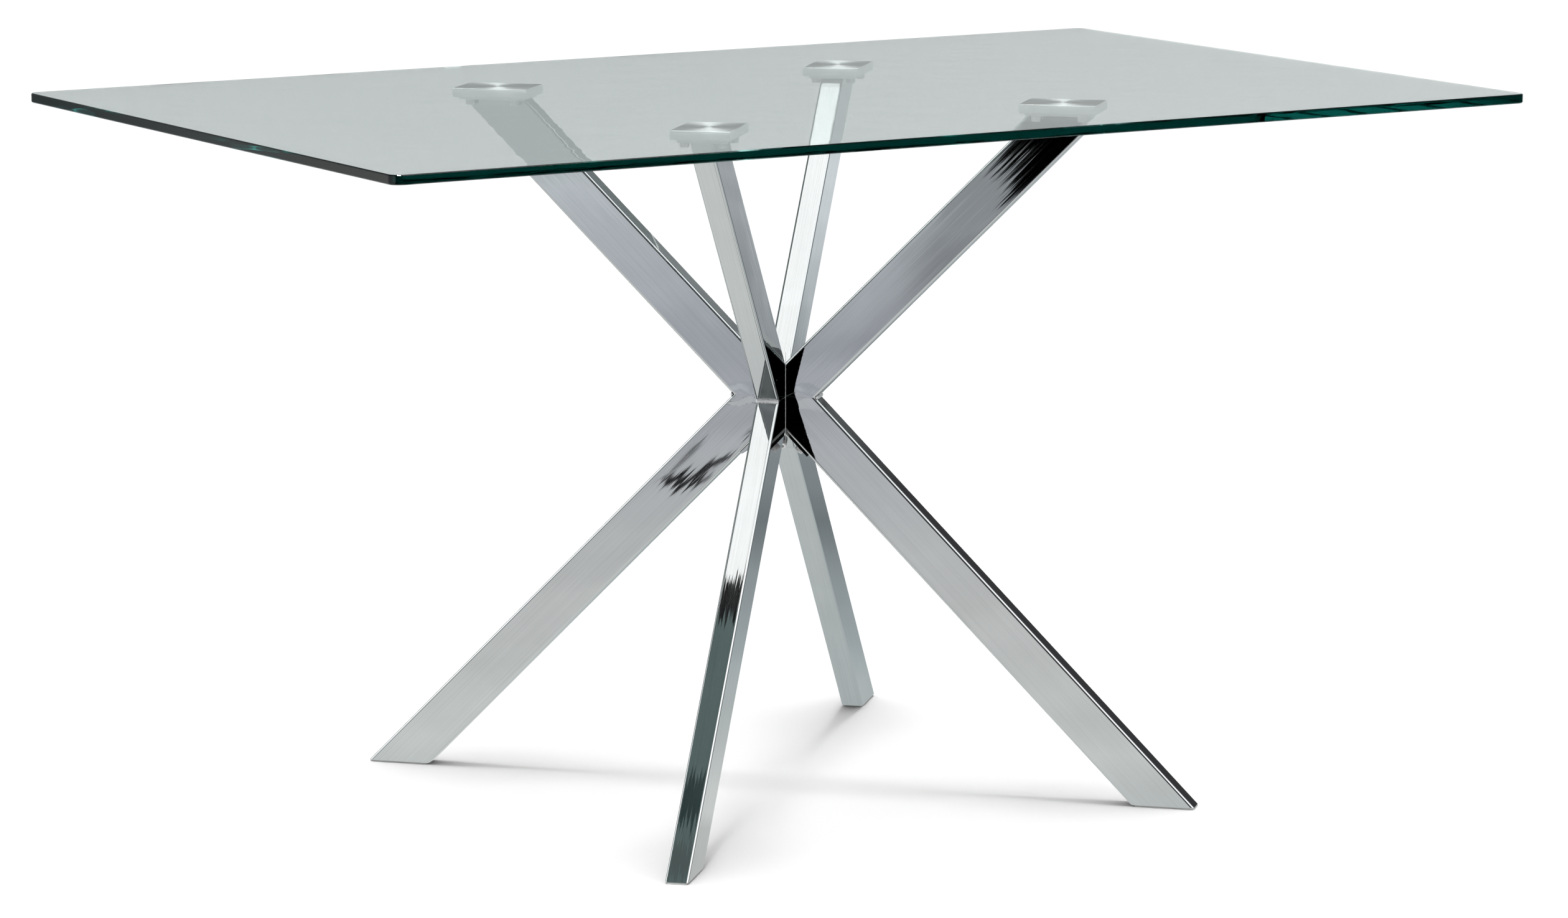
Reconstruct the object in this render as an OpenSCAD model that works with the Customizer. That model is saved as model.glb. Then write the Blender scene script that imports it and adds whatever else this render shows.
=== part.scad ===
// Rectangular glass dining table on a starburst base.
// Four V-shaped frames of rectangular tube meet at the centre, splay out to four feet
// below and to four pads bonded under the glass above.
// Millimetres, +Z up. The origin is on the floor under the centre, and +X runs along the long side.

/* [Glass top] */
// Length of the glass, along X
glass_length = 1370; // [1200:10:1600]
// Width of the glass, along Y
glass_width = 850; // [760:10:1000]
// Thickness of the glass
glass_thickness = 10; // [8:1:12]
// Plan radius of the glass corners
glass_corner_radius = 12; // [6:1:40]
// Height of the glass's upper face above the floor
table_height = 760; // [730:5:780]

/* [Pads and mounting plates] */
// Distance from the table's centre to the middle of each pad
pad_radius = 314; // [290:1:340]
// Length of a bonded pad, along its leg
pad_length = 83; // [80:1:95]
// Width of a bonded pad, across its leg
pad_width = 63; // [58:1:75]
// Thickness of a bonded pad
pad_thickness = 9.5; // [8.5:0.5:12]
// Length of the plate under a pad, along its leg
plate_length = 73; // [72:1:78]
// Width of the plate under a pad, across its leg
plate_width = 52; // [51:1:56]
// Thickness of the plate under a pad
plate_thickness = 3; // [2.5:0.5:4]
// Spacing of the plate's screws along the leg
screw_spacing_along = 50; // [46:1:56]
// Spacing of the plate's screws across the leg
screw_spacing_across = 40; // [38:1:40]

/* [Tube frames] */
// Angle from +X to the vertical plane of the first leg
leg_azimuth = 46; // [43:0.5:47]
// Depth of the tube, in the leg's vertical plane
tube_depth = 50; // [46:1:54]
// Width of the tube, across the leg's vertical plane
tube_width = 25; // [24:0.5:26]
// Thickness of the tube's wall
tube_wall = 1.5; // [1.2:0.1:2]
// Outer radius of the tube's corners
tube_corner_radius = 3; // [2.5:0.5:4]
// Distance from the table's centre to the notch where an arm and a leg meet
notch_radius = 46; // [42:1:50]
// Height of the notch above the floor
notch_height = 432; // [420:1:440]
// Distance from the table's centre to the outer tip of a foot
foot_radius = 469; // [440:1:500]

/* [Hub bracket] */
// Thickness of the bracket's sheet
bracket_thickness = 2.5; // [2:0.5:3]
// Width of a bracket tab
tab_width = 22; // [18:1:24]
// Distance along a leg from the notch to the end of its tab
tab_end = 40; // [36:1:48]
// Distance along a leg from the notch to the hub screw
hub_screw_place = 28; // [25:0.5:30]

/* [Feet] */
// Thickness of the plate that closes a foot
foot_plate_thickness = 3; // [2:0.5:4]
// Thickness of the glide under a foot
glide_thickness = 1.5; // [1:0.5:3]

/* [Hidden] */
$fn = 48;
QUADRANTS = [["rear_right", 1, 1], ["rear_left", -1, 1], ["front_left", -1, -1], ["front_right", 1, -1]];
LEG_PIECES = ["glass_pad", "mounting_plate", "plate_screws", "upper_arm", "lower_leg",
              "elbow_weld", "foot_plate", "foot_glide"];

// M6 socket-head screws and nuts
thread_radius = 3;
thread_gap = 0.05;
clearance_radius = 3.3;
head_radius = 5;
head_height = 6;
socket_across_flats = 5;
socket_depth = 3;
nut_across_flats = 10;
nut_height = 5;
plate_screw_length = 10;
hub_screw_length = 14;
pad_hole_depth = plate_screw_length - plate_thickness + 1;

// Heights of the faces between the glass and the arms
pad_top = table_height - glass_thickness;
plate_top = pad_top - pad_thickness;
arm_top = plate_top - plate_thickness;

// Slope of an arm whose horizontal end is centred under its plate
arm_rise = arm_top - notch_height;
arm_run = pad_radius - notch_radius;
arm_slope = acos(tube_depth / 2 / norm([arm_rise, arm_run])) - atan2(arm_run, arm_rise);
// Slope of a leg whose outer edge reaches the floor at foot_radius
leg_slope = atan2(notch_height, foot_radius - notch_radius);
// Length of the slanted cut across a leg at floor level
foot_cut_length = tube_depth / sin(leg_slope);

plate_corner_radius = 2;
glide_inset = 2;
weld_radius = 3;
weld_fit_gap = 0.1;
// Larger than any piece, for the cutting blocks
reach = 900;
overlap = 1;

// Outline of a rectangle with round corners, centred on the origin
module rounded_outline(length, width, radius) {
    union() {
        square([length - 2 * radius, width], center = true);
        square([length, width - 2 * radius], center = true);
        for (x = [-1, 1], y = [-1, 1])
            translate([x * (length / 2 - radius), y * (width / 2 - radius)])
                circle(r = radius);
    }
}

// The part of +X +Y space between two heights
module first_quadrant(bottom, top) {
    translate([0, 0, bottom])
        cube([reach, reach, top - bottom]);
}

// Puts a piece drawn in the first quadrant into quadrant q
module in_quadrant(q) {
    mirror([q[1] < 0 ? 1 : 0, 0, 0])
        mirror([0, q[2] < 0 ? 1 : 0, 0])
            children();
}

// Turns the XZ plane into the vertical plane of the first leg
module on_leg_plane() {
    rotate([0, 0, leg_azimuth])
        children();
}

// Solid bar in the XZ plane, shrunk by inset on all four sides. Its upper edge starts at the notch
// and runs down and outwards at the given slope.
module bar(slope, inset) {
    translate([notch_radius, 0, notch_height])
        rotate([0, slope, 0])
            translate([-tube_depth - tube_width, 0, -tube_depth / 2])
                rotate([90, 0, 90])
                    linear_extrude(reach)
                        rounded_outline(tube_width - 2 * inset, tube_depth - 2 * inset,
                                        tube_corner_radius - inset);
}

module tube(slope) {
    difference() {
        bar(slope, 0);
        bar(slope, tube_wall);
    }
}

// Moves a child to the underside of the first leg, at a distance along the leg from the notch.
// The child's +Z then points away from the leg.
module at_leg_underside(along) {
    on_leg_plane()
        translate([notch_radius, 0, notch_height])
            rotate([0, leg_slope, 0])
                translate([along, 0, -tube_depth])
                    rotate([180, 0, 0])
                        children();
}

// Repeats a child at the four screw places of the first plate
module at_plate_screws(height) {
    on_leg_plane()
        for (x = [-1, 1], y = [-1, 1])
            translate([pad_radius + x * screw_spacing_along / 2, y * screw_spacing_across / 2, height])
                children();
}

// Socket-head screw: the head stands on z = 0 and points to +Z, the shank points to -Z
module socket_screw(length) {
    difference() {
        union() {
            cylinder(r = head_radius, h = head_height);
            translate([0, 0, -length])
                cylinder(r = thread_radius, h = length + overlap);
        }
        translate([0, 0, head_height - socket_depth])
            cylinder(r = socket_across_flats / 2 / cos(30), h = socket_depth + overlap, $fn = 6);
    }
}

module glass_top() {
    color([0.62, 0.78, 0.74, 0.35])
        translate([0, 0, pad_top])
            linear_extrude(glass_thickness)
                rounded_outline(glass_length, glass_width, glass_corner_radius);
}

module glass_pad() {
    color("lightgray")
        difference() {
            on_leg_plane()
                translate([pad_radius - pad_length / 2, -pad_width / 2, plate_top])
                    cube([pad_length, pad_width, pad_thickness]);
            at_plate_screws(plate_top - overlap)
                cylinder(r = thread_radius + thread_gap, h = pad_hole_depth + overlap);
        }
}

module mounting_plate() {
    color("gainsboro")
        difference() {
            on_leg_plane()
                translate([pad_radius, 0, arm_top])
                    linear_extrude(plate_thickness)
                        rounded_outline(plate_length, plate_width, plate_corner_radius);
            at_plate_screws(arm_top - overlap)
                cylinder(r = clearance_radius, h = plate_thickness + 2 * overlap);
        }
}

module plate_screws() {
    color("silver")
        at_plate_screws(arm_top)
            rotate([180, 0, 0])
                socket_screw(plate_screw_length);
}

module upper_arm() {
    color("silver")
        intersection() {
            on_leg_plane()
                translate([0, 0, 2 * notch_height])
                    mirror([0, 0, 1])
                        tube(arm_slope);
            first_quadrant(notch_height, arm_top);
        }
}

module lower_leg() {
    color("silver")
        difference() {
            intersection() {
                on_leg_plane()
                    tube(leg_slope);
                first_quadrant(glide_thickness, notch_height);
            }
            at_leg_underside(hub_screw_place)
                translate([0, 0, -tube_wall - overlap])
                    cylinder(r = clearance_radius, h = tube_wall + 2 * overlap);
        }
}

// Bead that fills the notch between the arm's and the leg's outer faces
module elbow_weld() {
    color("silver")
        on_leg_plane()
            translate([notch_radius, 0, notch_height])
                rotate([90, 0, 0])
                    linear_extrude(tube_width, center = true)
                        intersection() {
                            circle(r = weld_radius);
                            polygon([[0, 0],
                                     [2 * weld_radius, -2 * weld_radius * tan(leg_slope)],
                                     [2 * weld_radius, 2 * weld_radius * tan(arm_slope)]]);
                        }
}

// Plate welded inside the open end of a leg
module foot_plate() {
    color("silver")
        intersection() {
            on_leg_plane()
                bar(leg_slope, tube_wall + weld_fit_gap);
            first_quadrant(glide_thickness, glide_thickness + foot_plate_thickness);
        }
}

module foot_glide() {
    color("whitesmoke")
        on_leg_plane()
            translate([foot_radius - foot_cut_length / 2, 0, 0])
                linear_extrude(glide_thickness)
                    rounded_outline(foot_cut_length - 2 * glide_inset, tube_width - 2 * glide_inset,
                                    plate_corner_radius);
}

// Folded star under the hub: one tab along the underside of each leg
module hub_bracket() {
    color("silver")
        difference() {
            union()
                for (q = QUADRANTS)
                    in_quadrant(q)
                        intersection() {
                            at_leg_underside(-tube_depth - tube_width)
                                translate([0, -tab_width / 2, 0])
                                    cube([tab_end + tube_depth + tube_width, tab_width, bracket_thickness]);
                            first_quadrant(0, notch_height);
                        }
            for (q = QUADRANTS)
                in_quadrant(q)
                    at_leg_underside(hub_screw_place)
                        translate([0, 0, -overlap])
                            cylinder(r = clearance_radius, h = bracket_thickness + 2 * overlap);
        }
}

module hub_screws() {
    color("silver")
        for (q = QUADRANTS)
            in_quadrant(q)
                at_leg_underside(hub_screw_place)
                    translate([0, 0, bracket_thickness])
                        socket_screw(hub_screw_length);
}

// Nuts welded inside the legs, on the lower wall
module hub_nuts() {
    color("gray")
        for (q = QUADRANTS)
            in_quadrant(q)
                at_leg_underside(hub_screw_place)
                    translate([0, 0, -tube_wall - nut_height])
                        difference() {
                            cylinder(r = nut_across_flats / 2 / cos(30), h = nut_height, $fn = 6);
                            translate([0, 0, -overlap])
                                cylinder(r = thread_radius + thread_gap, h = nut_height + 2 * overlap);
                        }
}

glass_top();
hub_bracket();
hub_screws();
hub_nuts();
for (q = QUADRANTS) {
    in_quadrant(q) glass_pad();
    in_quadrant(q) mounting_plate();
    in_quadrant(q) plate_screws();
    in_quadrant(q) upper_arm();
    in_quadrant(q) lower_leg();
    in_quadrant(q) elbow_weld();
    in_quadrant(q) foot_plate();
    in_quadrant(q) foot_glide();
}
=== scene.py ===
"""Glass dining table on a chromed starburst base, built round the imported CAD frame. Units are metres."""
import math

import bmesh
import bpy
from mathutils import Matrix, Vector

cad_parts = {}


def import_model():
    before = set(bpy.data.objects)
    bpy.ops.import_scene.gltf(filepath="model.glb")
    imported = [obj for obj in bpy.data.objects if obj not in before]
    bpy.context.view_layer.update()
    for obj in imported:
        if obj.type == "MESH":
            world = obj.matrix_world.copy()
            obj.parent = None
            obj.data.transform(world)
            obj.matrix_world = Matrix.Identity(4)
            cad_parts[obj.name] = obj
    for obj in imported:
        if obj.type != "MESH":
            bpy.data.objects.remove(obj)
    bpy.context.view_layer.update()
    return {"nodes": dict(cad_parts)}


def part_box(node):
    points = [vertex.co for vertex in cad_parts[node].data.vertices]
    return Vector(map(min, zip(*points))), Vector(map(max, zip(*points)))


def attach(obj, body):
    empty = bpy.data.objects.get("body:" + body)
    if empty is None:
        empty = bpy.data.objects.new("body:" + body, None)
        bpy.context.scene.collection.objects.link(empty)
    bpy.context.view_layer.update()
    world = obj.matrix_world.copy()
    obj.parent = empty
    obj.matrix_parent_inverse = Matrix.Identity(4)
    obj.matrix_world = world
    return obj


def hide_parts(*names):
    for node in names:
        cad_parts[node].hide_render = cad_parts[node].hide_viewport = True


# Driving dimensions, as in the CAD source
LEG_AZIMUTH = math.radians(46)
TUBE_DEPTH = 0.050
TUBE_WIDTH = 0.025
TUBE_CORNER = 0.003
NOTCH_RADIUS = 0.046
FOOT_RADIUS = 0.469
PAD_RADIUS = 0.314
PAD_LENGTH = 0.083
PAD_WIDTH = 0.063
SCREW_SPACING_ALONG = 0.050
SCREW_SPACING_ACROSS = 0.040
GLASS_CORNER = 0.012
BRACKET_THICKNESS = 0.0025
HUB_SCREW_PLACE = 0.028
WELD_RADIUS = 0.003
SEAM_RADIUS = 0.0003
SEAM_HALF_HEIGHT = 0.050
HEAD_RADIUS = 0.005
HEAD_HEIGHT = 0.006
SHANK_RADIUS = 0.003
SOCKET_FLATS = 0.005
SOCKET_DEPTH = 0.003
PLATE_SCREW_LENGTH = 0.010
HUB_SCREW_LENGTH = 0.014

# Finish details that the CAD leaves out
GLASS_ARRIS = 0.0011
PAD_CHAMFER = 0.0005
PAD_BOND = 0.00005
FOOT_ROUNDING = 0.0012
EDGE_BEVEL = 0.0004
KNURL_TEETH = 40
KNURL_DEPTH = 0.00028
HEAD_CHAMFER = 0.0003
KNURL_STOP = 0.0011
RIM_START = 0.0009
RIM_CHAMFER = 0.0004
SOCKET_CHAMFER = 0.0002
WELD_RIPPLES = 14
WELD_INSET = 0.0002
FOOT_STEPS = 5

# Stage
CAMERA_AZIMUTH = math.radians(-31.366)
CAMERA_ELEVATION = math.radians(9.91)
CAMERA_PLACE = Vector((-3.1754, -5.2239, 1.4289))
CAMERA_LENS = 131.10
FLOOR_SIZE = 40
PAPER_SIZE = 30
PAPER_DROP = 0.001
PAPER_REACH = 7.0
STAND_PLACE = (-1.3, -2.2, 0)
LIGHT_CENTRE = (0.044, 0.045)
LIGHT_HEIGHT = 2.4
SOFTBOX_SIZE = (1.474, 1.9)
FRAME_SIZE = (1.61, 2.03)
CARD_GAP = 0.01
SOFTBOX_STRENGTH = 1.38
SOFTBOX_EXTRA = 1.7
AMBIENT = 0.85
# Share of painted shade taken off the floor's colour and the paper's glow where they are mirrored twice
TWICE_MIRRORED_PAINTED_SHADE = 0.8

QUADRANTS = {"rear_right": (1, 1), "rear_left": (-1, 1), "front_left": (-1, -1), "front_right": (1, -1)}


def leg_directions(signs):
    """Unit vectors outwards along a leg in plan, and across it."""
    out = Vector((math.cos(LEG_AZIMUTH) * signs[0], math.sin(LEG_AZIMUTH) * signs[1], 0))
    return out, Vector((0, 0, 1)).cross(out)


def matrix_of(x_axis, y_axis, z_axis, origin):
    m = Matrix((x_axis, y_axis, z_axis)).transposed().to_4x4()
    m.translation = origin
    return m


def tube_matrix(signs, slope, rises, notch_height):
    """X runs along a tube from its notch, Z points out of its outer narrow face."""
    out, _ = leg_directions(signs)
    up = Vector((0, 0, 1))
    along = out * math.cos(slope) + up * math.sin(slope) * (1 if rises else -1)
    normal = out * math.sin(slope) - up * math.cos(slope) * (1 if rises else -1)
    return matrix_of(along, normal.cross(along), normal, out * NOTCH_RADIUS + up * notch_height)


def new_object(name, bm, matrix):
    mesh = bpy.data.meshes.new(name)
    bm.to_mesh(mesh)
    bm.free()
    obj = bpy.data.objects.new(name, mesh)
    bpy.context.scene.collection.objects.link(obj)
    obj.matrix_world = matrix
    return obj


def add_piece(name, bm, matrix, material, node):
    """Makes the object, gives it its finish, and lets it stand for a CAD node."""
    obj = new_object(name, bm, matrix)
    obj.data.materials.append(material)
    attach(obj, "root")
    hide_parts(node)
    return obj


def ring(bm, points):
    return [bm.verts.new(p) for p in points]


def bridge(bm, lower, upper):
    n = len(lower)
    for i in range(n):
        bm.faces.new((lower[i], lower[(i + 1) % n], upper[(i + 1) % n], upper[i]))


def stack(bm, rings):
    """Skins a list of equal rings, wound counter-clockwise seen from the last one, and closes the ends."""
    for lower, upper in zip(rings, rings[1:]):
        bridge(bm, lower, upper)
    bm.faces.new(rings[0][::-1])
    bm.faces.new(rings[-1])


def rounded_outline(length, width, radius, steps):
    """Points of a rectangle with round corners, counter-clockwise, round the origin."""
    points = []
    for k, (sx, sy) in enumerate(((1, 1), (-1, 1), (-1, -1), (1, -1))):
        cx, cy = sx * (length / 2 - radius), sy * (width / 2 - radius)
        for i in range(steps + 1):
            a = math.pi / 2 * (k + i / steps)
            points.append((cx + radius * math.cos(a), cy + radius * math.sin(a)))
    return points


# Tubes

def tube_section(inset):
    """(y, z) points of the tube's outline, with its outer face at z = 0."""
    outline = rounded_outline(TUBE_WIDTH - 2 * inset, TUBE_DEPTH - 2 * inset, TUBE_CORNER - inset, 6)
    return [(y, z - TUBE_DEPTH / 2) for y, z in outline]


def section_normal(y, z):
    """Direction out of the tube at a point of its outline."""
    core_y = TUBE_WIDTH / 2 - TUBE_CORNER
    core_z = TUBE_DEPTH / 2 - TUBE_CORNER
    z += TUBE_DEPTH / 2
    n = Vector((0, y - max(-core_y, min(core_y, y)), z - max(-core_z, min(core_z, z))))
    return n.normalized()


def level_ring(bm, matrix, height, inset=0.0):
    """The outline of a sloping tube where a level plane at this height cuts it."""
    x_rise, z_rise = matrix[2][0], matrix[2][2]
    drop = height - matrix.translation.z
    return ring(bm, [((drop - z * z_rise) / x_rise, y, z) for y, z in tube_section(inset)])


def upright_matrix(signs, notch_height):
    """X points outwards from the notch in plan, and Z up."""
    out, across = leg_directions(signs)
    up = Vector((0, 0, 1))
    return matrix_of(out, across, up, out * NOTCH_RADIUS + up * notch_height)


def cut_at_centre(bm, matrix, signs):
    """Cuts the tube off at the two upright planes where it meets its neighbours."""
    inverse = matrix.inverted()
    for axis, sign in enumerate(signs):
        outwards = Vector((0, 0, 0))
        outwards[axis] = -sign
        cut = bmesh.ops.bisect_plane(
            bm,
            geom=bm.verts[:] + bm.edges[:] + bm.faces[:],
            plane_co=inverse @ Vector((0, 0, 0)),
            plane_no=inverse.to_3x3() @ outwards,
            clear_outer=True,
        )
        edges = [g for g in cut["geom_cut"] if isinstance(g, bmesh.types.BMEdge)]
        bmesh.ops.triangle_fill(bm, edges=edges, use_beauty=True)
    bmesh.ops.recalc_face_normals(bm, faces=bm.faces)


def set_tube_normals(obj, matrix, foot_height):
    """Exact normals, so that flat faces mirror flatly and the corners and foot edge turn smoothly."""
    mesh = obj.data
    down = matrix.to_3x3().inverted() @ Vector((0, 0, -1))
    turn = obj.matrix_world.to_3x3().inverted() @ matrix.to_3x3()
    to_tube = matrix.inverted() @ obj.matrix_world
    normals = []
    for polygon in mesh.polygons:
        centre = to_tube @ polygon.center
        is_side = abs((turn.transposed() @ polygon.normal) @ section_normal(centre.y, centre.z)) > 0.3
        for index in polygon.vertices:
            co = to_tube @ mesh.vertices[index].co
            if not is_side:
                normals.append(polygon.normal.copy())
                continue
            n = section_normal(co.y, co.z)
            rise = (matrix @ co).z - foot_height
            if rise < FOOT_ROUNDING:
                tilt = max(0.0, 1 - rise / FOOT_ROUNDING)
                n = (n * math.sqrt(max(0.0, 1 - tilt * tilt)) + down * tilt).normalized()
            normals.append(turn @ n)
    mesh.polygons.foreach_set("use_smooth", [True] * len(mesh.polygons))
    mesh.normals_split_custom_set(normals)


def tube(name, node, signs, slope, rises, notch_height, material):
    """One arm or leg, between its level cuts and the centre planes."""
    matrix = tube_matrix(signs, slope, rises, notch_height)
    lowest, highest = (v.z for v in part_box(node))
    bm = bmesh.new()
    rings = []
    first = lowest
    if not rises:
        for i in range(FOOT_STEPS):
            a = math.pi / 2 * i / FOOT_STEPS
            rise, inset = FOOT_ROUNDING * (1 - math.cos(a)), FOOT_ROUNDING * (1 - math.sin(a))
            rings.append(level_ring(bm, matrix, lowest + rise, inset))
        first = lowest + FOOT_ROUNDING
    stations = 24
    for i in range(stations + 1):
        rings.append(level_ring(bm, matrix, first + (highest - first) * i / stations))
    stack(bm, rings)
    cut_at_centre(bm, matrix, signs)
    upright = upright_matrix(signs, notch_height)
    bm.transform(upright.inverted() @ matrix)
    obj = add_piece(name, bm, upright, material, node)
    set_tube_normals(obj, matrix, lowest if not rises else -1.0)
    return obj


# Glass, pads, welds and screws

def glass_slab(material):
    lo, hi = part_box("glass_top")
    centre = (lo + hi) / 2
    length, width = hi.x - lo.x, hi.y - lo.y
    half = (hi.z - lo.z) / 2
    bm = bmesh.new()
    rings = []
    straight = half - GLASS_ARRIS
    for z, inset in ((-half, GLASS_ARRIS), (-straight, 0), (straight, 0), (half, GLASS_ARRIS)):
        outline = rounded_outline(length - 2 * inset, width - 2 * inset, GLASS_CORNER - inset, 12)
        rings.append(ring(bm, [(x, y, z) for x, y in outline]))
    stack(bm, rings)
    obj = add_piece("glass_slab", bm, Matrix.Translation(centre), material, "glass_top")
    obj.data.shade_smooth()
    obj.data.set_sharp_from_angle(angle=math.radians(20))
    obj.visible_shadow = False
    obj.visible_diffuse = False
    return obj


def chamfered_block(length, width, bottom, top, chamfer):
    bm = bmesh.new()
    rings = []
    for z, inset in ((bottom, chamfer), (bottom + chamfer, 0), (top - chamfer, 0), (top, chamfer)):
        x, y = length / 2 - inset, width / 2 - inset
        rings.append(ring(bm, [(x, y, z), (-x, y, z), (-x, -y, z), (x, -y, z)]))
    stack(bm, rings)
    return bm


def pad(name, node, signs, sides, spun):
    lo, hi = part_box(node)
    out, across = leg_directions(signs)
    matrix = matrix_of(out, across, Vector((0, 0, 1)), out * PAD_RADIUS + Vector((0, 0, lo.z)))
    bm = chamfered_block(PAD_LENGTH, PAD_WIDTH, 0, hi.z - lo.z + PAD_BOND, PAD_CHAMFER)
    obj = add_piece(name, bm, matrix, sides, node)
    obj.data.materials.append(spun)
    for polygon in obj.data.polygons:
        polygon.material_index = int(polygon.normal.z > 0.9)
    return obj


def add_hub_seam(bm, matrix, signs):
    """The thin upright seam in the corner between this V and the next one round the hub."""
    out, across = leg_directions(signs)
    following, _ = leg_directions((-signs[1], signs[0]))
    middle = (out + following).normalized()
    corner = middle * (TUBE_WIDTH / 2 / abs(across @ middle))
    side = Vector((0, 0, 1)).cross(middle)
    inverse = matrix.inverted()
    stations = 40
    rings = []
    for i in range(stations + 1):
        share = 2 * i / stations - 1
        r = SEAM_RADIUS * math.sqrt(max(0.0, 1.0001 - share ** 10))
        height = matrix.translation.z + share * SEAM_HALF_HEIGHT
        points = []
        for k in range(8):
            a = 2 * math.pi * k / 8
            spot = corner + middle * r * math.cos(a) + side * r * math.sin(a)
            points.append(inverse @ Vector((spot.x, spot.y, height)))
        rings.append(ring(bm, points))
    stack(bm, rings)


def weld_bead(name, node, signs, leg_slope, arm_slope, notch_height, material):
    """A convex bead across the notch, with the ripples that the torch left."""
    matrix = upright_matrix(signs, notch_height)
    bm = bmesh.new()
    stations, steps = 72, 10
    rings = []
    for i in range(stations + 1):
        share = 2 * i / stations - 1
        y = share * (TUBE_WIDTH / 2 - WELD_INSET)
        ripple = 1 - 0.05 * math.cos(share * WELD_RIPPLES * math.pi) - 0.22 * abs(share) ** 12
        points = [(0, y, 0)]
        for k in range(steps + 1):
            a = -leg_slope + (leg_slope + arm_slope) * k / steps
            r = WELD_RADIUS * (1 + (ripple - 1) * math.sin(math.pi * k / steps) ** 0.5)
            points.append((r * math.cos(a), y, r * math.sin(a)))
        rings.append(ring(bm, points))
    stack(bm, rings)
    add_hub_seam(bm, matrix, signs)
    bmesh.ops.recalc_face_normals(bm, faces=bm.faces)
    obj = add_piece(name, bm, matrix, material, node)
    obj.data.shade_smooth()
    obj.data.set_sharp_from_angle(angle=math.radians(40))
    return obj


def hexagon_radius(flats, angle):
    sixth = math.pi / 3
    return flats / 2 / math.cos((angle % sixth) - sixth / 2)


def add_socket_screw(bm, matrix, length):
    """A socket-head cap screw with a knurled head, its head towards +Z."""
    count = 3 * KNURL_TEETH
    angles = [2 * math.pi * i / count for i in range(count)]
    neck = HEAD_RADIUS - HEAD_CHAMFER
    tip = 2 * HEAD_CHAMFER

    def plain(radius):
        return lambda i, a: radius

    def knurled(i, a):
        return HEAD_RADIUS - (KNURL_DEPTH if i % 3 == 0 else 0)

    def socket(i, a):
        return hexagon_radius(SOCKET_FLATS, a)

    profile = [
        (-length, plain(SHANK_RADIUS - tip)),
        (tip - length, plain(SHANK_RADIUS)),
        (0.0, plain(SHANK_RADIUS)),
        (0.0, plain(neck)),
        (HEAD_CHAMFER, knurled),
        (HEAD_HEIGHT - KNURL_STOP, knurled),
        (HEAD_HEIGHT - RIM_START, plain(neck)),
        (HEAD_HEIGHT - RIM_CHAMFER, plain(neck)),
        (HEAD_HEIGHT, plain(HEAD_RADIUS - 2 * RIM_CHAMFER)),
        (HEAD_HEIGHT, lambda i, a: socket(i, a) + SOCKET_CHAMFER),
        (HEAD_HEIGHT - HEAD_CHAMFER, socket),
        (HEAD_HEIGHT - SOCKET_DEPTH, socket),
    ]
    rings = []
    for z, radius in profile:
        points = [(radius(i, a) * math.cos(a), radius(i, a) * math.sin(a), z) for i, a in enumerate(angles)]
        rings.append(ring(bm, [matrix @ Vector(p) for p in points]))
    stack(bm, rings)


def screw_set(name, node, matrices, length, material):
    """Equal screws in one object, which has the first one's frame."""
    bm = bmesh.new()
    inverse = matrices[0].inverted()
    for m in matrices:
        add_socket_screw(bm, inverse @ m, length)
    obj = add_piece(name, bm, matrices[0], material, node)
    obj.data.shade_smooth()
    obj.data.set_sharp_from_angle(angle=math.radians(22))
    return obj


def plate_screw_matrices(signs, height):
    """The four screw places under one plate, with the heads hanging down."""
    out, across = leg_directions(signs)
    places = []
    for x in (-0.5, 0.5):
        for y in (-0.5, 0.5):
            spot = out * (PAD_RADIUS + x * SCREW_SPACING_ALONG) + across * y * SCREW_SPACING_ACROSS
            places.append(matrix_of(out, -across, Vector((0, 0, -1)), spot + Vector((0, 0, height))))
    return places


def hub_screw_matrix(signs, slope, notch_height):
    leg = tube_matrix(signs, slope, False, notch_height)
    spot = leg @ Vector((HUB_SCREW_PLACE, 0, -TUBE_DEPTH - BRACKET_THICKNESS))
    x_axis, y_axis, z_axis = (leg.to_3x3().col[i] for i in range(3))
    return matrix_of(x_axis, -y_axis, -z_axis, spot)


# Materials

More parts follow.
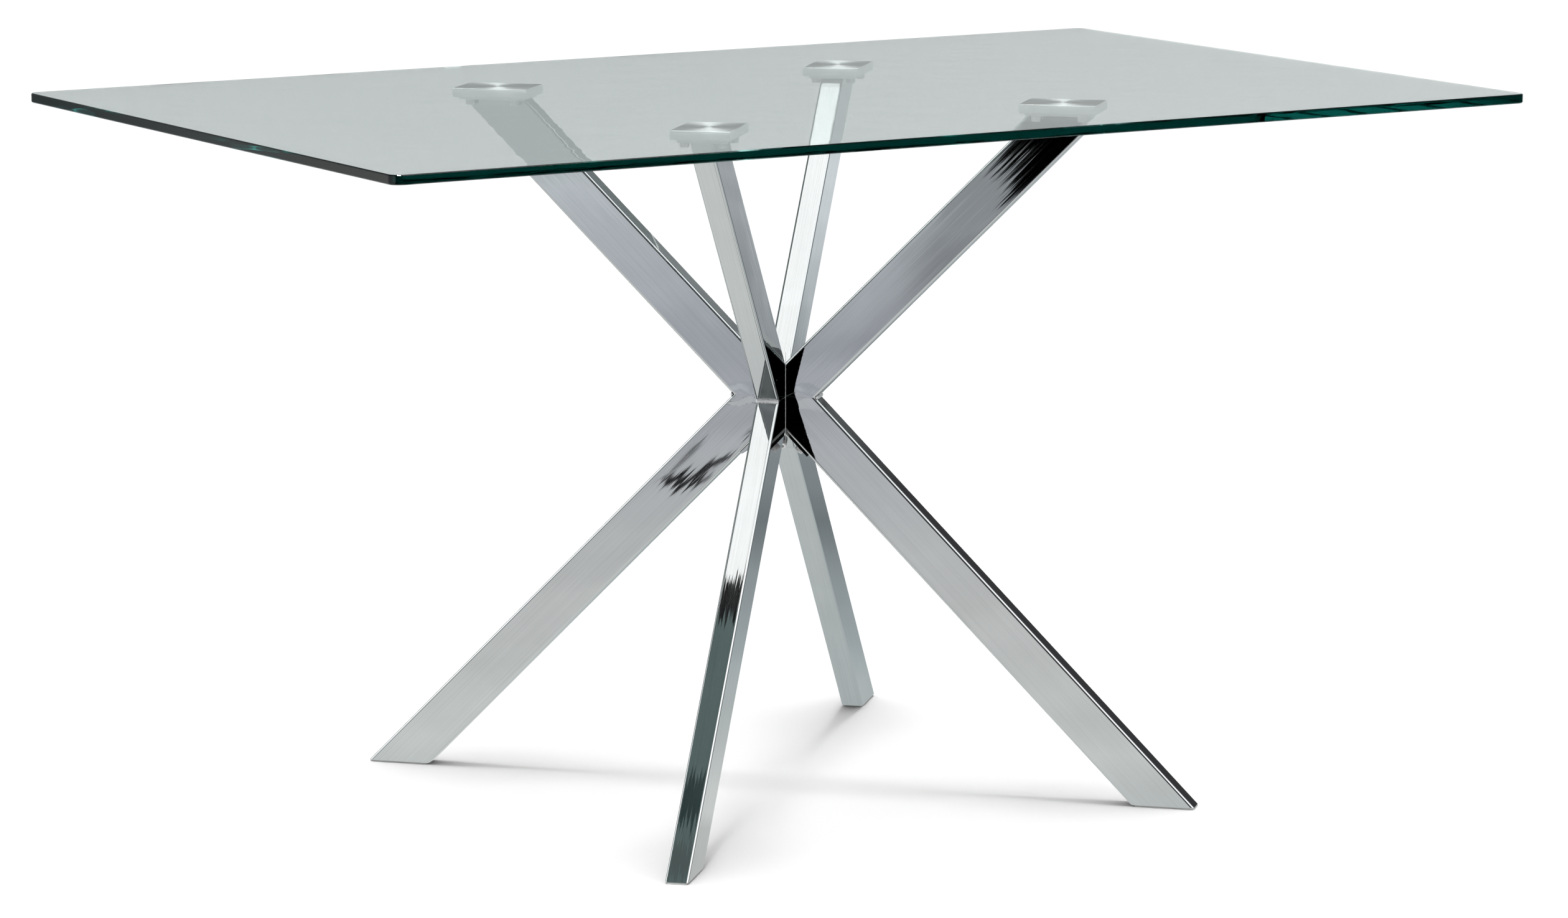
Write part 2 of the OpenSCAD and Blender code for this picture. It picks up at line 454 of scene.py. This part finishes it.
class Tree:
    """Short names for building the node tree of a material or the world."""

    def __init__(self, owner):
        owner.use_nodes = True
        self.tree = owner.node_tree

    def add(self, kind, links=None, **settings):
        node = self.tree.nodes.new("ShaderNode" + kind)
        for key, value in settings.items():
            setattr(node, key, value)
        for socket, value in (links or {}).items():
            self.put(node.inputs[socket], value)
        return node

    def put(self, socket, value):
        if isinstance(value, bpy.types.NodeSocket):
            self.tree.links.new(value, socket)
        else:
            socket.default_value = value

    def place(self):
        return self.add("TexCoord").outputs["Object"]

    def noise(self, vector, scale, detail=2.0, stretch=(1, 1, 1), roughness=0.5):
        mapped = self.add("Mapping", {"Vector": vector, "Scale": stretch})
        links = {"Vector": mapped.outputs[0], "Scale": scale, "Detail": detail, "Roughness": roughness}
        made = self.add("TexNoise", links)
        return made.outputs["Fac"]

    def ranged(self, value, low, high, from_low=0.3, from_high=0.7):
        made = self.add("MapRange", {0: value, 1: from_low, 2: from_high, 3: low, 4: high})
        return made.outputs[0]

    def ramp(self, value, stops):
        made = self.add("ValToRGB", {"Fac": value})
        ramp = made.color_ramp
        while len(ramp.elements) < len(stops):
            ramp.elements.new(0.5)
        for element, (place, colour) in zip(ramp.elements, stops):
            element.position = place
            element.color = (*colour, 1)
        return made.outputs["Color"]

    def bump(self, height, distance, strength=1.0, normal=None):
        links = {"Height": height, "Distance": distance, "Strength": strength}
        if normal is not None:
            links["Normal"] = normal
        return self.add("Bump", links).outputs["Normal"]

    def maths(self, operation, a, b):
        return self.add("Math", {0: a, 1: b}, operation=operation).outputs[0]

    def along_line(self, vector, direction):
        """How far a place lies along a direction."""
        made = self.add("VectorMath", {0: vector, 1: direction}, operation="DOT_PRODUCT")
        return made.outputs["Value"]

    def to_world(self, vector):
        turn = {"vector_type": "VECTOR", "convert_from": "OBJECT", "convert_to": "WORLD"}
        return self.add("VectorTransform", {0: vector}, **turn).outputs[0]


class Nodes(Tree):
    """A new material, and its node tree."""

    def __init__(self, name):
        self.material = bpy.data.materials.new(name)
        super().__init__(self.material)
        self.shader = self.tree.nodes["Principled BSDF"]
        self.output = self.tree.nodes["Material Output"]

    def set(self, **values):
        for key, value in values.items():
            self.put(self.shader.inputs[key.replace("_", " ")], value)

    def glow(self, colour, strength):
        """Replaces the shader with plain light of one colour and strength, or of linked ones."""
        made = self.add("Emission", {"Color": colour, "Strength": strength})
        self.tree.links.new(made.outputs[0], self.output.inputs["Surface"])
        return self.material


CHROME = (0.76, 0.77, 0.78)


def tube_place(n, along_angle):
    """Coordinates along, across and through a tube, the same for an arm and a leg, and the way it runs."""
    parts = n.add("SeparateXYZ", {0: n.place()})
    x, y, z = parts.outputs
    side = n.maths("SIGN", z, 0.0)
    folded = n.add("CombineXYZ", {0: x, 1: y, 2: n.maths("ABSOLUTE", z, 0.0)}).outputs[0]
    turned = n.add("Mapping", {"Vector": folded, "Rotation": (0, along_angle, 0)}).outputs[0]
    location = n.add("ObjectInfo").outputs["Location"]
    own = n.add("VectorMath", {0: location, "Scale": 40.0}, operation="SCALE")
    shift = n.add("CombineXYZ", {0: 0.0, 1: n.maths("MULTIPLY", side, 0.7), 2: 0.0}).outputs[0]
    moved = n.add("VectorMath", {0: turned, 1: own.outputs[0]}, operation="ADD").outputs[0]
    place = n.add("VectorMath", {0: moved, 1: shift}, operation="ADD").outputs[0]
    rise = n.maths("MULTIPLY", side, math.sin(along_angle))
    along = n.add("CombineXYZ", {0: math.cos(along_angle), 1: 0.0, 2: rise}).outputs[0]
    return place, along, z


def streak_tilt(n, place, along, amount):
    """A normal that leans along the tube by a different small angle in each polishing streak."""
    broad = n.noise(place, 9.0, 6.0, (0.8, 52, 52), 0.62)
    lean = n.maths("MULTIPLY", n.maths("SUBTRACT", broad, 0.5), amount)
    tilt = n.add("VectorMath", {0: n.to_world(along), "Scale": lean}, operation="SCALE")
    normal = n.add("NewGeometry").outputs["Normal"]
    both = n.add("VectorMath", {0: normal, 1: tilt.outputs[0]}, operation="ADD")
    return n.add("VectorMath", {0: both.outputs[0]}, operation="NORMALIZE").outputs[0]


def chrome_tube_material():
    """Chrome over ground tube: streaks and fine lines along it, and ripples where the weld pulled it."""
    n = Nodes("chrome_tube")
    place, along, height = tube_place(n, math.radians(45.4))
    streaks = n.noise(place, 30.0, 4.0, (0.12, 26, 26))
    haze = n.noise(place, 14.0, 3.0)
    lines = n.noise(place, 60.0, 3.0, (0.05, 26, 26), 0.7)
    worn = n.maths("ADD", n.maths("MULTIPLY", haze, 0.3), n.maths("MULTIPLY", lines, 0.7))
    n.set(Metallic=1.0)
    bright, dull = (tuple(c * share for c in CHROME) for share in (1.02, 0.91))
    n.set(Base_Color=n.ramp(worn, ((0.38, bright), (0.62, dull))))
    n.set(Roughness=n.maths("ADD", n.ranged(streaks, 0.004, 0.03), n.ranged(haze, 0.0, 0.01)))
    leaning = streak_tilt(n, place, along, 0.030)
    waves = n.bump(n.noise(place, 9.0, 1.0, (1, 1.5, 1.5)), 0.00025, 1.0, leaning)
    wander = n.ranged(n.noise(n.place(), 40.0, 1.0), -0.004, 0.004)
    off_hub = n.ranged(n.add("SeparateXYZ", {0: n.place()}).outputs["X"], 0.0, 1.0, -0.036, -0.018)
    off_mitre = n.maths("ADD", n.maths("ABSOLUTE", height, 0.0), wander)
    fade = {0: off_mitre, 1: 0.014, 2: 0.002, 3: 0.0, 4: 1.0}
    near_weld = n.add("MapRange", fade, interpolation_type="SMOOTHSTEP")
    rolled = n.maths("MULTIPLY", near_weld.outputs[0], off_hub)
    n.set(Normal=n.bump(rolled, 0.0002, 1.0, waves))
    return n.material


def chrome_bracket_material():
    """Chrome plate over folded sheet, duller than the tubes and slightly pitted."""
    n = Nodes("chrome_bracket")
    place = n.place()
    haze = n.noise(place, 60.0, 3.0)
    n.set(Metallic=1.0, Roughness=n.ranged(haze, 0.04, 0.14))
    n.set(Base_Color=n.ramp(haze, ((0.3, CHROME), (0.7, tuple(c * 0.9 for c in CHROME)))))
    n.set(Normal=n.bump(n.noise(place, 220.0, 3.0), 0.00004))
    return n.material


def spun_material():
    """Spun-brushed aluminium: rings round the middle of the pad spread the light towards it. Its base colour
    is painted far darker than aluminium's, as painted shade that tones down the strong overhead glint.
    """
    n = Nodes("spun_aluminium")
    place = n.place()
    flat = n.add("VectorMath", {0: place, 1: (1, 1, 0)}, operation="MULTIPLY").outputs[0]
    radius = n.add("VectorMath", {0: flat}, operation="LENGTH").outputs["Value"]
    fine = {"W": radius, "Scale": 3500.0, "Detail": 3.0}
    rings = n.add("TexNoise", fine, noise_dimensions="1D").outputs["Fac"]
    grain = n.noise(place, 900.0, 2.0)
    n.set(Metallic=1.0, Anisotropic=0.85)
    # Painted shade: a base colour near 0.2, where aluminium's is near 0.9, offsets the glint light
    n.set(Base_Color=n.ramp(rings, ((0.3, (0.235, 0.24, 0.24)), (0.7, (0.185, 0.19, 0.19)))))
    n.set(Roughness=n.ranged(rings, 0.52, 0.64))
    unit = n.add("VectorMath", {0: n.to_world(flat)}, operation="NORMALIZE")
    n.set(Tangent=unit.outputs[0])
    n.set(Normal=n.bump(n.maths("ADD", rings, grain), 0.000006))
    return n.material


def brushed_material(name, colour, stretch, roughness, metallic):
    """Sheet and turned metal with a fine grain. The less metallic, the more satin it looks."""
    n = Nodes(name)
    place = n.place()
    grain = n.noise(place, 400.0, 3.0, stretch)
    cloud = n.noise(place, 50.0, 2.0)
    n.set(Metallic=metallic)
    n.set(Base_Color=n.ramp(cloud, ((0.3, colour), (0.7, tuple(c * 0.88 for c in colour)))))
    n.set(Roughness=n.ranged(grain, *roughness))
    n.set(Normal=n.bump(grain, 0.00001))
    return n.material


def glide_material():
    n = Nodes("glide_plastic")
    place = n.place()
    speckle = n.noise(place, 900.0, 3.0)
    n.set(Base_Color=n.ramp(speckle, ((0.35, (0.62, 0.63, 0.62)), (0.65, (0.54, 0.55, 0.54)))))
    n.set(Roughness=n.ranged(speckle, 0.42, 0.6))
    n.set(Normal=n.bump(speckle, 0.00002))
    return n.material


def glass_material():
    """Tempered float glass: nearly clear through the sheet, deep green along it, with faint roller waves."""
    n = Nodes("clear_glass")
    n.set(Base_Color=(1, 1, 1, 1), Transmission_Weight=1.0, IOR=1.5, Roughness=0.0)
    n.set(Normal=n.bump(n.noise(n.place(), 14.0, 1.0), 0.00004))
    absorb = n.add("VolumeAbsorption", {"Color": (0.0, 0.54, 0.51, 1), "Density": 7.0})
    n.tree.links.new(absorb.outputs[0], n.output.inputs["Volume"])
    return n.material


# Stage

def flat_card(name, centre, size_x, size_y, material, turn=0.0):
    """A level rectangle of the stage, turned about its middle."""
    bm = bmesh.new()
    x, y = size_x / 2, size_y / 2
    bm.faces.new(ring(bm, [(-x, -y, 0), (x, -y, 0), (x, y, 0), (-x, y, 0)]))
    obj = new_object(name, bm, Matrix.Translation(centre) @ Matrix.Rotation(turn, 4, "Z"))
    obj.data.materials.append(material)
    return obj


def floor_material():
    """White paper, lit until it just burns out. Where it is mirrored twice, in chrome and then glass, its
    colour is painted darker by a fixed share, as painted shade.
    """
    n = Nodes("floor_white")
    colour = n.ramp(n.noise(n.place(), 3.0, 3.0), ((0.3, (0.81, 0.81, 0.81)), (0.7, (0.79, 0.79, 0.79))))
    # Painted shade: the floor's colour is darkened where it is seen in a second mirror
    mirrored = n.maths("GREATER_THAN", n.add("LightPath").outputs["Glossy Depth"], 1.5)
    share = n.maths("SUBTRACT", 1.0, n.maths("MULTIPLY", mirrored, TWICE_MIRRORED_PAINTED_SHADE))
    toned = n.add("VectorMath", {0: colour, "Scale": share}, operation="SCALE")
    n.set(Base_Color=toned.outputs[0], Roughness=0.9)
    return n.material


def emission_material(name, colour, strength):
    return Nodes(name).glow(colour, strength)


def dark_spot(n, place, centre, heading, length, width, darkest):
    """1 outside a long soft-edged spot on the floor, and darkest inside it."""
    links = {"Vector": place, "Location": (*centre, 0), "Rotation": (0, 0, math.radians(heading))}
    links["Scale"] = (length / 2, width / 2, 1)
    own = n.add("Mapping", links, vector_type="TEXTURE").outputs[0]
    reach = n.add("VectorMath", {0: own}, operation="LENGTH").outputs["Value"]
    return n.ranged(reach, darkest, 1.0, 0.75, 1.1)


def paper_material():
    """What the chrome mirrors below the horizon: uneven paper, a dark stand on it, a dark room past it, with
    painted shade under the front-left leg and where it is mirrored twice.
    """
    n = Nodes("studio_paper")
    place = n.place()
    across = n.along_line(place, (0.8, 0.6, 0))
    share = n.ranged(across, 0.0, 1.0, -PAPER_REACH, PAPER_REACH)
    tones = (
        (-7.0, (0.56, 0.61, 0.60)),
        (-5.0, (0.60, 0.64, 0.67)),
        (-3.0, (0.44, 0.46, 0.50)),
        (-1.0, (0.64, 0.65, 0.64)),
        (-0.2, (0.70, 0.73, 0.71)),
        (0.7, (0.42, 0.47, 0.48)),
        (1.6, (0.19, 0.22, 0.23)),
        (3.0, (0.43, 0.47, 0.49)),
        (5.0, (0.72, 0.77, 0.80)),
    )
    colour = n.ramp(share, [((u + PAPER_REACH) / (2 * PAPER_REACH), c) for u, c in tones])
    edge = n.ranged(n.along_line(place, (0.316, -0.949, 0)), 1.0, 0.0, 1.80, 1.85)
    side = n.ranged(n.along_line(place, (0.54, -0.842, 0)), 0.0, 1.0, 0.142, 0.156)
    past = n.maths("MULTIPLY", side, n.ranged(across, 1.0, 0.0, -4.6, -4.3))
    bright = n.maths("MINIMUM", edge, n.maths("SUBTRACT", 1.0, past))
    off_stand = n.add("VectorMath", {0: place, 1: STAND_PLACE}, operation="DISTANCE").outputs["Value"]
    lit = n.maths("MULTIPLY", bright, n.ranged(off_stand, 0.0, 1.0, 0.75, 1.05))
    shaded = n.along_line(place, (0.516, -0.799, 0))
    far_out = n.ranged(n.maths("ABSOLUTE", across, 0.0), 0.0, 0.45, 2.4, 3.2)
    shade = n.maths("MULTIPLY", far_out, n.ranged(shaded, 0.0, 1.0, -0.07, 0.05))
    lit = n.maths("MULTIPLY", lit, n.maths("SUBTRACT", 1.0, shade))
    spots = (
        ((-1.75, -0.835), 28.3, 0.14, 0.085, 0.03),
        ((-1.825, -0.93), 42.7, 0.19, 0.014, 0.03),
        ((-2.03, -1.10), 37.0, 0.11, 0.012, 0.03),
        ((-1.94, -0.94), 38.4, 0.36, 0.008, 0.03),
        # The last spot is painted shade on the floor under the front-left leg
        ((-0.24, -0.29), 35.0, 0.42, 0.26, 0.80),
    )
    for spot in spots:
        lit = n.maths("MULTIPLY", lit, dark_spot(n, place, *spot))
    lit = n.maths("MULTIPLY", lit, n.ranged(n.noise(place, 2.2, 2.0), 0.92, 1.05))
    # Painted shade: the paper's glow is dimmed by the same share where it is seen in a second mirror
    again = n.maths("GREATER_THAN", n.add("LightPath").outputs["Glossy Depth"], 1.5)
    lit = n.maths("MULTIPLY", lit, n.maths("SUBTRACT", 1.0, n.maths("MULTIPLY", again, TWICE_MIRRORED_PAINTED_SHADE)))
    return n.glow(colour, lit)


def softbox_material():
    """The light overhead. It burns out more where the glass is between it and the camera twice."""
    n = Nodes("softbox")
    passes = n.add("LightPath").outputs["Transmission Depth"]
    twice = n.maths("GREATER_THAN", passes, 2.5)
    strength = n.maths("ADD", n.maths("MULTIPLY", twice, SOFTBOX_EXTRA), SOFTBOX_STRENGTH)
    return n.glow((1.0, 0.98, 0.965, 1), strength)


def only_mirrored(obj, through_glass):
    """Lets only reflections see a card, and rays through the glass too if through_glass is set."""
    obj.visible_camera = False
    obj.visible_diffuse = False
    obj.visible_shadow = False
    obj.visible_volume_scatter = False
    obj.visible_transmission = through_glass


def build_world():
    """White for the camera and for the light on the floor, and a studio of greys for reflections."""
    world = bpy.data.worlds.new("studio")
    bpy.context.scene.world = world
    n = Tree(world)
    n.tree.nodes.clear()
    direction = n.add("TexCoord").outputs["Generated"]
    height = n.add("SeparateXYZ", {0: direction}).outputs["Z"]
    toned = n.ramp(height, (
        (0.0, (0.24, 0.265, 0.265)),
        (0.45, (0.24, 0.265, 0.265)),
        (0.62, (0.09, 0.10, 0.10)),
        (0.80, (0.11, 0.155, 0.148)),
    ))

    def sector(azimuth, elevation, inner, outer):
        """1 in the directions round an axis, fading to 0 between two angles from it."""
        azimuth, elevation = math.radians(azimuth), math.radians(elevation)
        level = math.cos(elevation)
        axis = (level * math.cos(azimuth), level * math.sin(azimuth), math.sin(elevation))
        facing = n.along_line(direction, axis)
        return n.ranged(facing, 0.0, 1.0, math.cos(math.radians(outer)), math.cos(math.radians(inner)))

    sectors = (
        (58.6, 0.0, 10.0, 20.0, (0.45, 0.48, 0.476)),
        (48.0, 0.0, 2.0, 13.0, (0.55, 0.57, 0.57)),
        (28.0, 0.0, 14.0, 17.0, (0.045, 0.045, 0.047)),
        (-121.0, 0.0, 20.0, 30.0, (0.02, 0.02, 0.021)),
        (141.0, 20.0, 20.0, 23.0, (1.6, 1.6, 1.6)),
        (-48.0, 38.0, 26.0, 29.0, (1.5, 1.5, 1.5)),
    )
    for azimuth, elevation, inner, outer, colour in sectors:
        share = sector(azimuth, elevation, inner, outer)
        toned = n.add("Mix", {"Factor": share, 6: toned, 7: (*colour, 1)}, data_type="RGBA").outputs[2]

    path = n.add("LightPath")
    is_high = n.maths("GREATER_THAN", height, 0.45)
    is_direct = n.maths("LESS_THAN", path.outputs["Diffuse Depth"], 0.5)
    through = n.maths("MULTIPLY", path.outputs["Is Transmission Ray"], is_direct)
    mirrored = n.maths("MAXIMUM", n.maths("MULTIPLY", is_high, through), path.outputs["Is Glossy Ray"])
    studio = n.add("Background", {"Color": toned, "Strength": 1.0})
    glare = n.ranged(path.outputs["Is Camera Ray"], AMBIENT, 1.0, 0.0, 1.0)
    white = n.add("Background", {"Color": (1, 1, 1, 1), "Strength": glare})
    mix = n.add("MixShader", {0: mirrored, 1: white.outputs[0], 2: studio.outputs[0]})
    n.add("OutputWorld", {"Surface": mix.outputs[0]})


def overhead_light(name, energy, angle):
    light = bpy.data.lights.new(name, "SUN")
    light.energy = energy
    light.angle = math.radians(angle)
    lamp = bpy.data.objects.new(name, light)
    bpy.context.scene.collection.objects.link(lamp)
    return lamp


def build_stage():
    floor = flat_card("floor", (0, 0, 0), FLOOR_SIZE, FLOOR_SIZE, floor_material())
    floor.visible_glossy = False
    paper = flat_card("paper_card", (0, 0, -PAPER_DROP), PAPER_SIZE, PAPER_SIZE, paper_material())
    only_mirrored(paper, False)
    place = (*LIGHT_CENTRE, LIGHT_HEIGHT)
    softbox = flat_card("softbox_card", place, *SOFTBOX_SIZE, softbox_material(), LEG_AZIMUTH)
    only_mirrored(softbox, True)
    black = emission_material("rig_black", (0, 0, 0, 1), 0.0)
    dark = emission_material("rig_dark", (0.02, 0.04, 0.038, 1), 1.0)
    grey = emission_material("rig_grey", (0.085, 0.11, 0.107, 1), 1.0)
    rigging = (
        ("softbox_frame", (*LIGHT_CENTRE, LIGHT_HEIGHT + CARD_GAP), *FRAME_SIZE, black),
        ("ceiling_beam", (-1.11, -0.345, LIGHT_HEIGHT + 2 * CARD_GAP), 0.075, 0.28, dark),
        ("ceiling_pipe", (-1.19, -0.40, LIGHT_HEIGHT + 2 * CARD_GAP), 0.05, 0.28, grey),
    )
    for name, centre, size_x, size_y, finish in rigging:
        only_mirrored(flat_card(name, centre, size_x, size_y, finish, LEG_AZIMUTH), True)
    overhead_light("overhead", 1.43, 12)
    overhead_light("glint", 6.6, 24).visible_diffuse = False


def build_camera():
    """The photo's viewpoint. Back points from the table to the camera."""
    level = math.cos(CAMERA_ELEVATION)
    back = Vector((
        math.sin(CAMERA_AZIMUTH) * level,
        -math.cos(CAMERA_AZIMUTH) * level,
        math.sin(CAMERA_ELEVATION),
    ))
    right = Vector((math.cos(CAMERA_AZIMUTH), math.sin(CAMERA_AZIMUTH), 0))
    data = bpy.data.cameras.new("camera")
    data.sensor_width = 36.0
    data.lens = CAMERA_LENS
    camera = bpy.data.objects.new("camera", data)
    camera.matrix_world = matrix_of(right, back.cross(right), back, CAMERA_PLACE)
    bpy.context.scene.collection.objects.link(camera)
    bpy.context.scene.camera = camera


def set_look():
    scene = bpy.context.scene
    scene.view_settings.view_transform = "Standard"
    scene.cycles.caustics_reflective = False
    scene.cycles.caustics_refractive = False
    scene.cycles.max_bounces = 40
    scene.cycles.glossy_bounces = 32
    scene.cycles.transmission_bounces = 32


def solve_slopes(arm_top, notch_height):
    """The slopes of an arm and a leg, from where they end."""
    rise, run = arm_top - notch_height, PAD_RADIUS - NOTCH_RADIUS
    arm = math.acos(TUBE_DEPTH / 2 / math.hypot(rise, run)) - math.atan2(run, rise)
    return arm, math.atan2(notch_height, FOOT_RADIUS - NOTCH_RADIUS)


def keep_node(frame, node, material, bevel):
    """A CAD node whose shape is right, with softened edges and its finish."""
    obj = frame["nodes"][node]
    obj.data.materials.clear()
    obj.data.materials.append(material)
    if bevel:
        soft = obj.modifiers.new("soft_edges", "BEVEL")
        soft.width = bevel
        soft.segments = 2
        soft.limit_method = "ANGLE"
        soft.angle_limit = math.radians(40)
        soft.harden_normals = True


def build_table(frame):
    notch_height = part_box("lower_leg_front_left")[1].z
    arm_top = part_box("upper_arm_front_left")[1].z
    arm_slope, leg_slope = solve_slopes(arm_top, notch_height)
    tube_chrome = chrome_tube_material()
    bracket_chrome = chrome_bracket_material()
    weld_satin = brushed_material("weld_satin", (0.82, 0.83, 0.84), (1, 1, 0.3), (0.22, 0.36), 0.45)
    spun = spun_material()
    aluminium = brushed_material("pad_aluminium", (0.69, 0.71, 0.70), (0.1, 0.1, 5), (0.48, 0.62), 0.35)
    plate_steel = brushed_material("satin_steel", (0.78, 0.80, 0.80), (0.1, 3, 3), (0.25, 0.42), 0.4)
    screw_steel = brushed_material("screw_steel", (0.90, 0.91, 0.91), (1, 1, 1), (0.18, 0.32), 0.4)
    nut_steel = brushed_material("nut_steel", (0.55, 0.55, 0.56), (1, 1, 1), (0.3, 0.5), 1.0)
    plastic = glide_material()

    glass_slab(glass_material())
    for place, signs in QUADRANTS.items():
        tube("arm_" + place, "upper_arm_" + place, signs, arm_slope, True, notch_height, tube_chrome)
        tube("leg_" + place, "lower_leg_" + place, signs, leg_slope, False, notch_height, tube_chrome)
        pad("pad_" + place, "glass_pad_" + place, signs, aluminium, spun)
        slopes = leg_slope, arm_slope
        weld_bead("bead_" + place, "elbow_weld_" + place, signs, *slopes, notch_height, weld_satin)
        matrices = plate_screw_matrices(signs, arm_top)
        screw_set("screws_" + place, "plate_screws_" + place, matrices, PLATE_SCREW_LENGTH, screw_steel)
        keep_node(frame, "mounting_plate_" + place, plate_steel, EDGE_BEVEL)
        keep_node(frame, "foot_plate_" + place, nut_steel, 0)
        keep_node(frame, "foot_glide_" + place, plastic, EDGE_BEVEL)
    matrices = [hub_screw_matrix(signs, leg_slope, notch_height) for signs in QUADRANTS.values()]
    screw_set("hub_cap_screws", "hub_screws", matrices, HUB_SCREW_LENGTH, screw_steel)
    keep_node(frame, "hub_bracket", bracket_chrome, EDGE_BEVEL)
    keep_node(frame, "hub_nuts", nut_steel, 0)


def main():
    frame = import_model()
    build_camera()
    build_world()
    build_stage()
    set_look()
    build_table(frame)


main()
